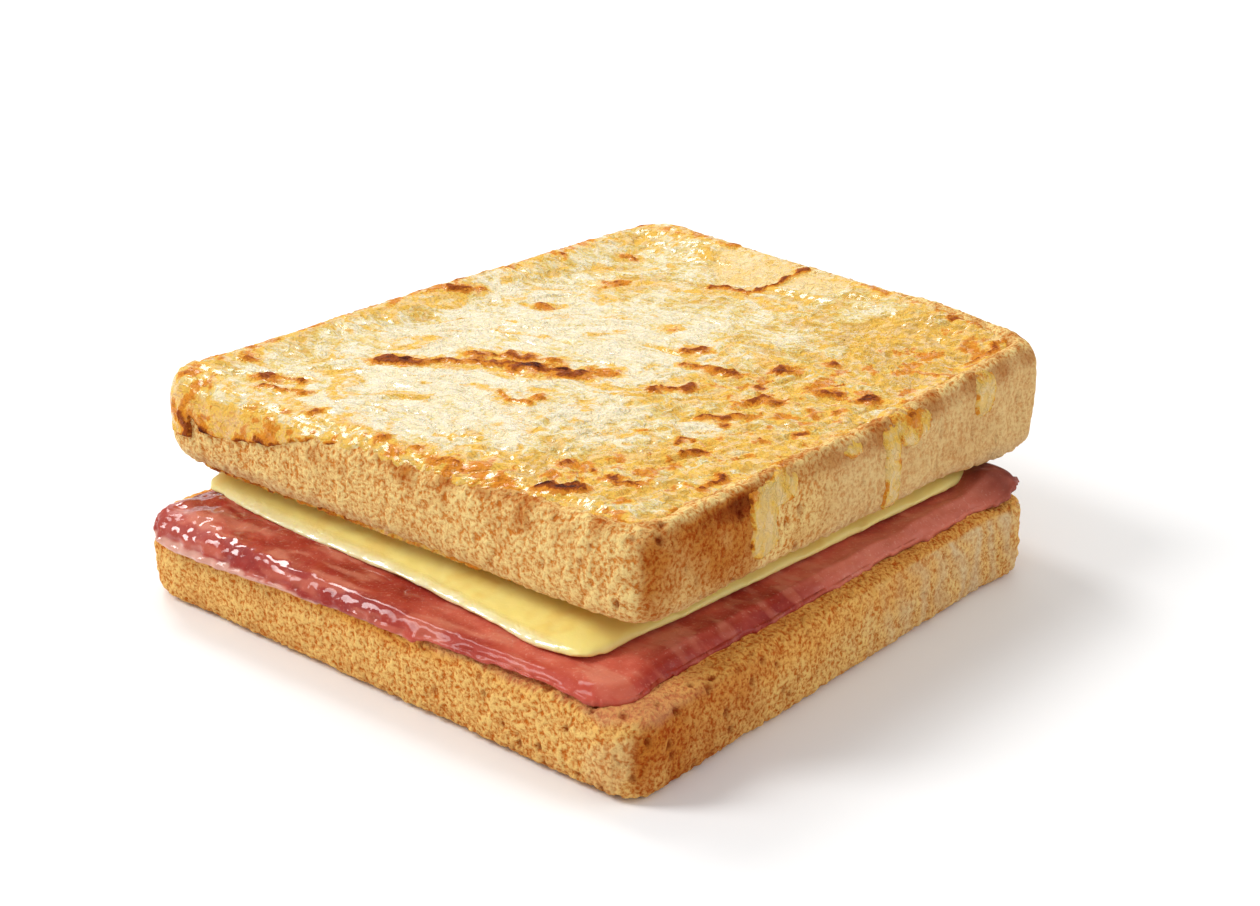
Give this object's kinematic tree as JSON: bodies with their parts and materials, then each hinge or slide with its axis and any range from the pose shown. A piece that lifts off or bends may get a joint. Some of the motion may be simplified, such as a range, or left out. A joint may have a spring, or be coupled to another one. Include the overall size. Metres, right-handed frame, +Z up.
{
  "type": "croque monsieur sandwich",
  "caption": "Toasted sandwich of square bread slices with ham and a soft cheese slice between them and melted cheese browned on top.",
  "frame": {"origin": "middle of the underside of the bounding box, on the surface the sandwich rests on", "axes": "+Z up, +Y along the longer side of the stack (the way the top slice has slipped), +X to the right of it"},
  "size_m": [0.1156, 0.1266, 0.0379],
  "materials": {
    "toasted_bread": "matte porous crumb, toasted golden",
    "cooked_ham": "wet, marbled",
    "sliced_cheese": "smooth, soft sheen",
    "browned_melted_cheese": "glossy, lumpy, browned in patches"
  },
  "bodies": {
    "root": {"bread_bottom": "toasted_bread", "ham_slice": "cooked_ham", "cheese_slice": "sliced_cheese", "bread_top": "toasted_bread", "melted_topping": "browned_melted_cheese"}
  },
  "joints": []
}
